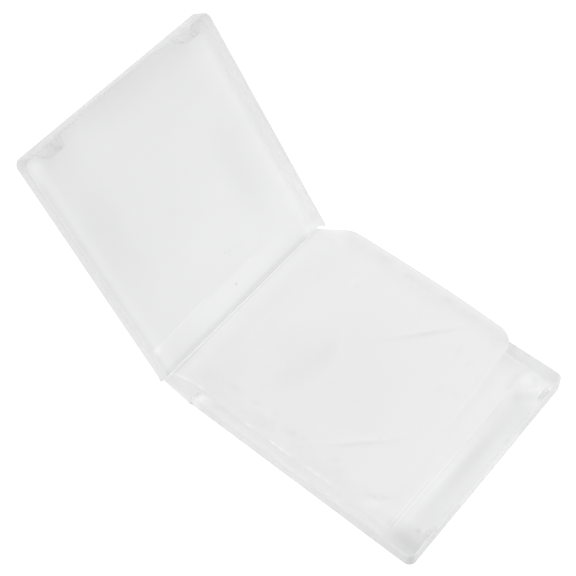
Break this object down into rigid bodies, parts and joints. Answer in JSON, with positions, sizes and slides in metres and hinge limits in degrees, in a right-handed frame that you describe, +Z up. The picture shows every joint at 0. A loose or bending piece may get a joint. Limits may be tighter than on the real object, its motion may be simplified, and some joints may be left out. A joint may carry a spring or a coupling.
{
  "type": "disc storage case",
  "caption": "Slim hinged disc storage case in frosted plastic, two shallow trays on a flat spine with clear film disc sleeves bound inside.",
  "frame": {"origin": "centre of the base tray's underside, on the table", "axes": "+X from the hinge line toward the base tray's fore edge, +Z up, +Y along the hinge line"},
  "size_m": [0.2395, 0.1284, 0.124],
  "materials": {
    "shell": "frosted, translucent, milky white, fine-grained",
    "film": "clear glossy film, welded edges"
  },
  "bodies": {
    "base": {"base_tray": "shell", "sleeve_lower": "film", "sleeve_upper": "film"},
    "spine": {"spine_strip": "shell", "sleeve_binding": "film"},
    "lid": {"lid_tray": "shell"}
  },
  "joints": [
    {"name": "spine_hinge", "type": "hinge", "parent": "base", "child": "spine", "pos_m": [-0.071, 0, 0.0004], "axis": [0, 1, 0], "range_deg": [0, 90], "deforming": ["sleeve_lower", "sleeve_upper"]},
    {"name": "lid_hinge", "type": "hinge", "parent": "spine", "child": "lid", "pos_m": [-0.0906, 0, 0.0004], "axis": [0, 1, 0], "range_deg": [-56.55, 33.45]}
  ]
}
